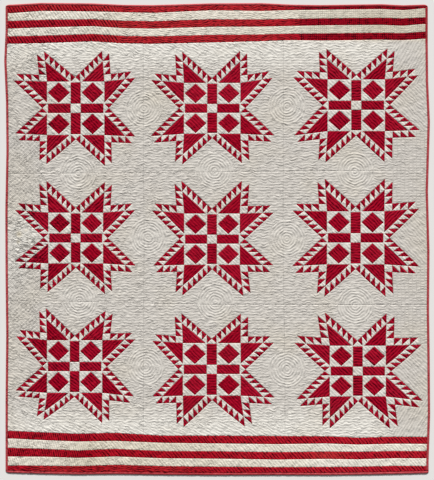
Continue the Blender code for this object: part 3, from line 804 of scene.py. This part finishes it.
PATCH_RECESS = 1.0
PATCH_BASE = 1.15
STAR_WHITE = 0.4
RED_DYES = (-0.1, 0.6)
dyeing = np.random.default_rng(21)
for star in STARS:
    name = f"block_{star.row}_{star.column}"
    outline = grown(rim_of(name), SEWN_GAP)
    drafts = red_patches_draft(-math.pi / 5 if star.column == 1 else 0.0)
    patches = [anticlockwise([sewn(star, x, y) for x, y in draft]) for draft, _ in drafts]
    seams = [[*patch, patch[0]] for patch in patches]
    seams += [[sewn(star, x, y) for x, y in seam] for seam in white_seams_draft()]
    edge = np.array([sewn(star, x, y) for x, y in star_outline_draft()])
    quiltings = list(GROUND_QUILTINGS)
    rings = []
    low, high = outline.min(0) - RING_REACH, outline.max(0) + RING_REACH
    for middle in MEDALLIONS:
        if (np.array(middle) > low).all() and (np.array(middle) < high).all():
            rings.append((len(quiltings), middle))
            quiltings.append(Quilting("rings", pitch=RING_PITCH, stray=0.5, middle=middle))
    rowed = []
    for patch, (_, slant) in zip(patches, drafts):
        if slant is not None:
            rowed.append((len(quiltings), patch))
            soft = 0.9 if star.column == 2 else 0.2
            quiltings.append(Quilting("rows", slant, PATCH_PITCH, soft=soft, stray=0.6, patch=patch))
    cloth = Cloth(outline, seams, patches, quiltings, block_zones(star, edge, rings, rowed))

    rim = loop_round(cloth.faces.tolist())
    ground_loops = [(rim, 0.0, False)]
    patch_loops = []
    for number in range(len(patches)):
        chosen = np.nonzero(cloth.patch == number)[0]
        loop = loop_round(cloth.faces[chosen].tolist())
        ground_loops.append((loop, PATCH_RECESS, True))
        patch_loops.append((chosen, loop))
    centres = cloth.points[cloth.faces].mean(1)
    x, y = centres.T
    grey = 1.0 - rising(np.abs(y), 740, 120) + 0.9 * rising(x, 700, 150) - spot(centres, *BLEACHED_SPOT)
    for _, middle in rings:
        grey -= 0.3 * rising(-np.hypot(x - middle[0], y - middle[1]), -RING_REACH - 20, 40)
    dye = np.where(inside(edge, centres), STAR_WHITE, grey)[:, None]
    for chosen, _ in patch_loops:
        dye[chosen] = dyeing.uniform(*RED_DYES)
    ground = closed_piece(name + "_ground", cloth, np.nonzero(cloth.patch < 0)[0], ground_loops, dye)
    ground.data.materials.append(bleached_muslin)
    red = []
    for number, (chosen, loop) in enumerate(patch_loops):
        red.append(closed_piece(f"patch_{number}", cloth, chosen, [(loop, PATCH_BASE, False)], dye))
    with bpy.context.temp_override(active_object=red[0], selected_editable_objects=red):
        bpy.ops.object.join()
    star_patches = red[0]
    star_patches.name = f"star_{star.row}_{star.column}_patches"
    star_patches.data.materials.append(turkey_red_calico)

    size = (outline.max(0) - outline.min(0)) * MM
    area = enclosed(outline) * MM**2
    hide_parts(name)
    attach(ground, "root")
    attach(star_patches, "root")

# Border strips
# Five long strips at the top and five at the bottom, cut from plain cotton in red, white, red, white and
# red from the edge inwards. They are sewn to the blocks. Several hands quilted them, each in rows of
# its own: steep at the top left, shallow and then crossed towards the right, and steep at the bottom.

ROPE_END = -456
CROSSED_START = 380
STEEP_END = -585
LOWER_EDGE_SLANTED_START = -60
# The zones of the strips, and how each of them is quilted, in the same order.
ROPE, SHALLOW, CROSSED, STEEP, SLANTED = range(5)
STRIP_QUILTINGS = [
    Quilting("rows", math.radians(-57), pitch=12.3, soft=-0.1, stray=0.4),
    Quilting("rows", math.radians(-9), pitch=9.5, soft=0.6, stray=0.9),
    Quilting("rows", pitch=9.5, cross=9.5, soft=0.5, stray=0.4),
    Quilting("rows", math.radians(-76), pitch=9.5, soft=0.3, stray=0.7),
    Quilting("rows", math.radians(-50), pitch=12.3, soft=0.6, stray=0.7),
]
# Plain red cotton from another bolt than the stars': lighter and more orange where years of light took it.
faded_red_cotton = woven_cotton(
    "faded_red_cotton", fresh="#B40C28", faded="#C23236", aged="#A80A1E", shaded="#260208",
    groove_shade=0.95, groove_reach=4.4, crease_shade=0.3,
)
# Unbleached cotton: creamier than the blocks' white.
unbleached_cotton = woven_cotton(
    "unbleached_cotton", fresh="#F4EFE3", faded="#EBE4D6", aged="#DAD0BA", shaded="#857A6C",
    groove_shade=0.5, groove_reach=3.4, crease_shade=0.3,
)
STRIP_CLOTHS = (
    (faded_red_cotton, "red_cotton"),
    (unbleached_cotton, "white_cotton"),
    (faded_red_cotton, "red_cotton"),
    (unbleached_cotton, "white_cotton"),
    (faded_red_cotton, "red_cotton"),
)


def strip_zones(side, number):
    """A function that says which rows are sewn where along one strip."""

    def zone_at(points):
        x = points[:, 0]
        if side == "top":
            return np.where(x < ROPE_END, ROPE, np.where(x < CROSSED_START, SHALLOW, CROSSED))
        if number == 1:
            return np.where(x < LOWER_EDGE_SLANTED_START, SHALLOW, SLANTED)
        return np.where(x < STEEP_END, STEEP, SLANTED)

    return zone_at


def strip_dye(side, number, x):
    """How faded a strip is along its length: the middle of the top and the lower edge lay in the light."""
    if side == "top":
        edge = 0.4 * (number == 1) * (x < ROPE_END)
        return 0.1 + edge + 0.6 * rising(x, -640, 180) * rising(-x, -430, 180)
    if number == 1:
        return 0.2 + 0.7 * rising(x, -870, 60) * rising(-x, -20, 200)
    return 0.2 + 0.9 * np.exp(-(((x - 500) / 70) ** 2)) * (number == 3)


def one_zone(points):
    return np.zeros(len(points), int)


def laid_piece(name, node, cloth, material, dye):
    """A closed piece of plain cloth that lies flat and stands for one CAD node, which it hides."""
    rim = loop_round(cloth.faces.tolist())
    everything = np.arange(len(cloth.faces))
    piece = closed_piece(name, cloth, everything, [(rim, 0.0, False)], dye)
    piece.data.materials.append(material)
    outline = cloth.points[rim]
    area = enclosed(outline) * MM**2
    low, high = outline.min(0) * MM, outline.max(0) * MM
    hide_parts(node)
    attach(piece, "root")
    return piece, high - low, float(area)


for side in ("top", "bottom"):
    for number, (material, slot) in enumerate(STRIP_CLOTHS, start=1):
        node = f"{side}_strip_{number}"
        outline = grown(rim_of(node), SEWN_GAP)
        cloth = Cloth(outline, [], [], STRIP_QUILTINGS, strip_zones(side, number))
        dye = strip_dye(side, number, cloth.points[:, 0])[cloth.faces]
        piece, size, area = laid_piece(node + "_cloth", node, cloth, material, dye)

# Binding
# Four lengths of red cotton folded over the quilt's raw edge and hemmed down by hand: top and bottom
# run the full width, and the two sides butt up against them. Its outer fold is rubbed pale.

BINDING_OUTER_HEIGHT = 2.2
BINDING_CROWN_HEIGHT = 5.0
BINDING_ROLL = 3.8
BINDING_LUMPS = 0.22
WEAR_REACH = 2.6
binding_lumps = smooth_noise(31, 7, 40)
# Red cotton cut on the straight grain and folded double: the fold has lost its colour to wear.
folded_red_cotton = woven_cotton(
    "folded_red_cotton", fresh="#A01A2A", faded="#C25C60", aged="#A42E34", shaded="#5E0F18",
    groove_shade=0.5, groove_reach=3.0, crease_shade=0.3,
)
for side, slant, outward in (
    ("top", 0.0, (0, 1)),
    ("bottom", 0.0, (0, -1)),
    ("left", math.pi / 2, (-1, 0)),
    ("right", math.pi / 2, (1, 0)),
):
    node = f"binding_{side}"
    outline = grown(rim_of(node), SEWN_GAP)
    cloth = Cloth(outline, [], [], [Quilting("plain", slant, pitch=6.4)], one_zone, step=3.0)
    roll = np.sin(math.pi / 2 * np.clip(cloth.from_rim / BINDING_ROLL, 0, 1)) ** 0.8
    lumps = BINDING_LUMPS * binding_lumps(cloth.points) * roll
    crown = BINDING_CROWN_HEIGHT - BINDING_OUTER_HEIGHT - 0.3
    cloth.height = BINDING_OUTER_HEIGHT + crown * roll + lumps
    ahead = np.roll(outline, -1, 0) - outline
    faces_out = ahead @ (outward[1], -outward[0]) < -0.3 * np.linalg.norm(ahead, axis=1)
    from_fold = distance(cloth.points, outline[faces_out], np.roll(outline, -1, 0)[faces_out])
    wear = 0.15 + 0.9 * np.exp(-((from_fold / WEAR_REACH) ** 2)) + 0.12 * binding_lumps(cloth.points)
    dye = wear[cloth.faces]
    piece, size, area = laid_piece(node + "_fold", node, cloth, folded_red_cotton, dye)

# Floor, light and camera
# A plain pale floor, a broad soft lamp from beyond the quilt's top edge that rakes across the quilting,
# and a camera straight above, as in the photograph.

# The floor lies a hair below the quilt's underside, so that the two faces are never in one plane.
FLOOR_DROP = 0.0004
FLOOR_REACH = 9
# The photograph is 480 pixels high, and a pixel of it covers 4.6 mm of the quilt.
FRAME_HEIGHT = 480
PIXEL = 4.6
CAMERA_LENS = 100.0
CAMERA_SENSOR = 36.0
CAMERA_AIM = (-0.9, -4.1)

floor_mesh = bpy.data.meshes.new("floor")
floor_corners = [(x * FLOOR_REACH, y * FLOOR_REACH, 0) for x, y in ((-1, -1), (1, -1), (1, 1), (-1, 1))]
floor_mesh.from_pydata(floor_corners, [], [(0, 1, 2, 3)])
floor = bpy.data.objects.new("floor", floor_mesh)
floor.location.z = -FLOOR_DROP
bpy.context.scene.collection.objects.link(floor)
painted_floor = bpy.data.materials.new("painted_floor")
painted_floor.use_nodes = True
painted_floor.node_tree.nodes["Principled BSDF"].inputs["Base Color"].default_value = linear("#EFEEEC")
painted_floor.node_tree.nodes["Principled BSDF"].inputs["Roughness"].default_value = 0.8
floor_mesh.materials.append(painted_floor)

lamp = bpy.data.lights.new("window", "SUN")
lamp.energy = 5.0
lamp.angle = math.radians(8)
lamp.color = (1.0, 0.985, 0.965)
lamp_object = bpy.data.objects.new("window", lamp)
lamp_object.rotation_euler = (math.radians(-63), 0, math.radians(1))
bpy.context.scene.collection.objects.link(lamp_object)

world = bpy.data.worlds.new("room")
world.use_nodes = True
world.node_tree.nodes["Background"].inputs["Color"].default_value = linear("#F4F5F8")
world.node_tree.nodes["Background"].inputs["Strength"].default_value = 0.2
bpy.context.scene.world = world

camera = bpy.data.cameras.new("camera")
camera.lens = CAMERA_LENS
camera.sensor_width = CAMERA_SENSOR
camera.clip_end = 60
camera_object = bpy.data.objects.new("camera", camera)
height_above = FRAME_HEIGHT * PIXEL * MM * CAMERA_LENS / CAMERA_SENSOR
camera_object.location = (CAMERA_AIM[0] * MM, CAMERA_AIM[1] * MM, height_above + CROWN_HEIGHT * MM)
bpy.context.scene.collection.objects.link(camera_object)
bpy.context.scene.camera = camera_object
bpy.context.scene.view_settings.view_transform = "Standard"
